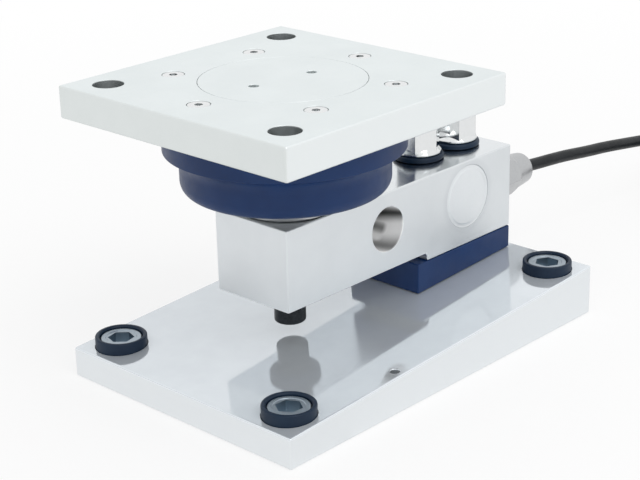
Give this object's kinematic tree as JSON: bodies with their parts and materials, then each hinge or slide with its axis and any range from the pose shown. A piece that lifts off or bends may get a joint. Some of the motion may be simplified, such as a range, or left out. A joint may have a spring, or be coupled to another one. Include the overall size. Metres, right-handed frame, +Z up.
{
  "type": "load cell weighing module",
  "caption": "Stainless shear beam load cell on a sloped base plate, with a self-aligning top plate on a rocker pin and a dark blue sealing boot.",
  "frame": {"origin": "centre of the base plate's underside", "axes": "+X runs along the beam from its loaded end towards its cable, +Z is up, +Y completes a right-handed set"},
  "size_m": [0.457, 0.1603, 0.13],
  "materials": {
    "satin_steel": "fine satin, almost white",
    "polished_steel": "electropolished, with clear reflections",
    "beam_steel": "bright satin",
    "bright_steel": "bright turned steel",
    "hard_steel": "ground and hardened",
    "black_steel": "black, low gloss",
    "blue_plastic": "dark blue, low gloss",
    "blue_seal": "dark blue, matte",
    "black_rubber": "matte",
    "cable_jacket": "smooth, low gloss",
    "black_plastic": "low gloss"
  },
  "bodies": {
    "frame": {"base_plate": "polished_steel", "base_seal_1": "blue_seal", "base_seal_2": "blue_seal", "base_seal_3": "blue_seal", "base_seal_4": "blue_seal", "base_screw_1": "bright_steel", "base_screw_2": "bright_steel", "base_screw_3": "bright_steel", "base_screw_4": "bright_steel", "spacer_block": "blue_plastic", "load_cell_beam": "beam_steel", "gauge_cover_near": "beam_steel", "gauge_cover_far": "beam_steel", "cell_seal_1": "blue_seal", "cell_seal_2": "blue_seal", "cell_bolt_1": "bright_steel", "cell_bolt_2": "bright_steel", "gland_body": "bright_steel", "gland_nut": "bright_steel", "gland_seal": "black_rubber", "bore_plug": "black_steel", "plug_seal": "blue_seal", "lower_bearing": "hard_steel", "check_collar": "bright_steel", "cable": "cable_jacket", "cable_coil": "cable_jacket", "coil_tie_1": "black_plastic", "coil_tie_2": "black_plastic", "cable_tail": "cable_jacket", "connector_body": "black_plastic", "connector_ring": "bright_steel", "connector_insert": "black_plastic"},
    "lower_ring": {"lower_o_ring": "black_rubber"},
    "pin": {"rocker_pin": "hard_steel"},
    "upper_ring": {"upper_o_ring": "black_rubber"},
    "upper_seat": {"upper_bearing": "hard_steel"},
    "platform": {"top_plate": "satin_steel", "load_cup": "satin_steel", "check_ring": "bright_steel", "lift_ring_left": "bright_steel", "lift_ring_right": "bright_steel", "lift_ring_screw_1": "bright_steel", "lift_ring_screw_2": "bright_steel", "lift_ring_screw_3": "bright_steel", "lift_ring_screw_4": "bright_steel", "boot": "blue_plastic", "boot_screw_1": "bright_steel", "boot_screw_2": "bright_steel", "boot_screw_3": "bright_steel", "boot_screw_4": "bright_steel", "boot_screw_5": "bright_steel", "boot_screw_6": "bright_steel"}
  },
  "joints": [
    {"name": "pin_tilt_x", "type": "hinge", "parent": "frame", "child": "lower_ring", "pos_m": [-0.0325, 0, 0.0636], "axis": [1, 0, 0], "range_deg": [-3.2, 3.2], "stiffness_Nm_per_rad": 20},
    {"name": "pin_tilt_y", "type": "hinge", "parent": "lower_ring", "child": "pin", "pos_m": [-0.0325, 0, 0.0636], "axis": [0, 1, 0], "range_deg": [-3.2, 3.2], "stiffness_Nm_per_rad": 20},
    {"name": "plate_level_y", "type": "hinge", "parent": "pin", "child": "upper_ring", "pos_m": [-0.0325, 0, 0.1084], "axis": [0, 1, 0], "range_deg": [-3.2, 3.2]},
    {"name": "plate_level_x", "type": "hinge", "parent": "upper_ring", "child": "upper_seat", "pos_m": [-0.0325, 0, 0.1084], "axis": [1, 0, 0], "range_deg": [-3.2, 3.2]},
    {"name": "plate_lift", "type": "slide", "parent": "upper_seat", "child": "platform", "axis": [0, 0, 1], "range_m": [0, 0.002]}
  ],
  "couplings": [
    {"joint": "plate_level_y", "follows": "pin_tilt_y", "ratio": -1},
    {"joint": "plate_level_x", "follows": "pin_tilt_x", "ratio": -1}
  ]
}
